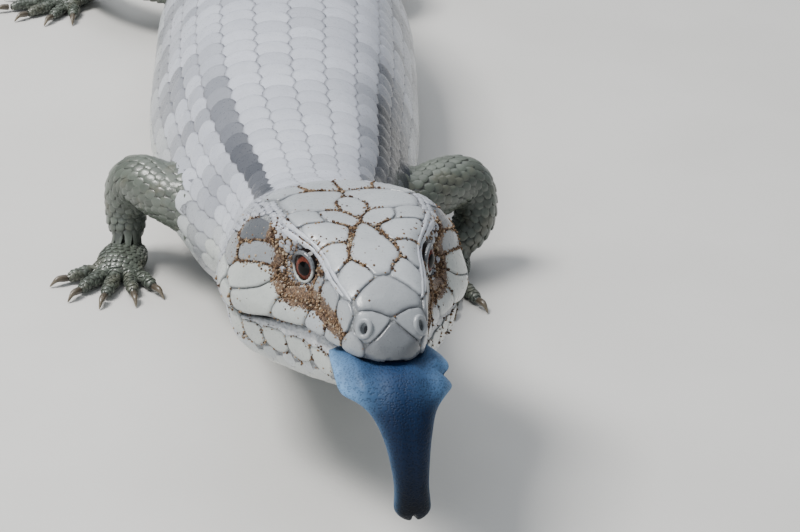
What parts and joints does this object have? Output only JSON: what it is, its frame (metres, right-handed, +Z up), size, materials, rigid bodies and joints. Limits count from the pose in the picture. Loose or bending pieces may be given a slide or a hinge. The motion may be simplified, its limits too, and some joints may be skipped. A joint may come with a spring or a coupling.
{
  "type": "blue-tongued skink model",
  "caption": "Life-size still model of a stout, smooth-scaled skink lying on its belly with its head raised and its broad blue tongue hanging out.",
  "frame": {"origin": "on the ground, under the middle of the animal's bounding box", "axes": "+Z up; +Y from the snout towards the tail; +X towards the animal's left side"},
  "size_m": [0.1526, 0.4354, 0.0537],
  "materials": {
    "scales": "satin pale grey scales with a lilac cast",
    "limb_skin": "satin grey-green small scales",
    "tongue": "moist matt blue",
    "eye": "clear gloss",
    "horn": "satin horn"
  },
  "bodies": {
    "root": {"head": "scales", "lower_jaw": "scales", "tongue": "tongue", "eye_right": "eye", "eye_left": "eye", "neck": "scales", "torso": "scales", "tail_base": "scales", "tail_middle": "scales", "tail_tip": "scales", "foreleg_left": "limb_skin", "forefoot_left": "limb_skin", "claw_forefoot_left_1": "horn", "claw_forefoot_left_2": "horn", "claw_forefoot_left_3": "horn", "claw_forefoot_left_4": "horn", "claw_forefoot_left_5": "horn", "foreleg_right": "limb_skin", "forefoot_right": "limb_skin", "claw_forefoot_right_1": "horn", "claw_forefoot_right_2": "horn", "claw_forefoot_right_3": "horn", "claw_forefoot_right_4": "horn", "claw_forefoot_right_5": "horn", "hindleg_left": "limb_skin", "hindfoot_left": "limb_skin", "claw_hindfoot_left_1": "horn", "claw_hindfoot_left_2": "horn", "claw_hindfoot_left_3": "horn", "claw_hindfoot_left_4": "horn", "claw_hindfoot_left_5": "horn", "hindleg_right": "limb_skin", "hindfoot_right": "limb_skin", "claw_hindfoot_right_1": "horn", "claw_hindfoot_right_2": "horn", "claw_hindfoot_right_3": "horn", "claw_hindfoot_right_4": "horn", "claw_hindfoot_right_5": "horn"}
  },
  "joints": []
}
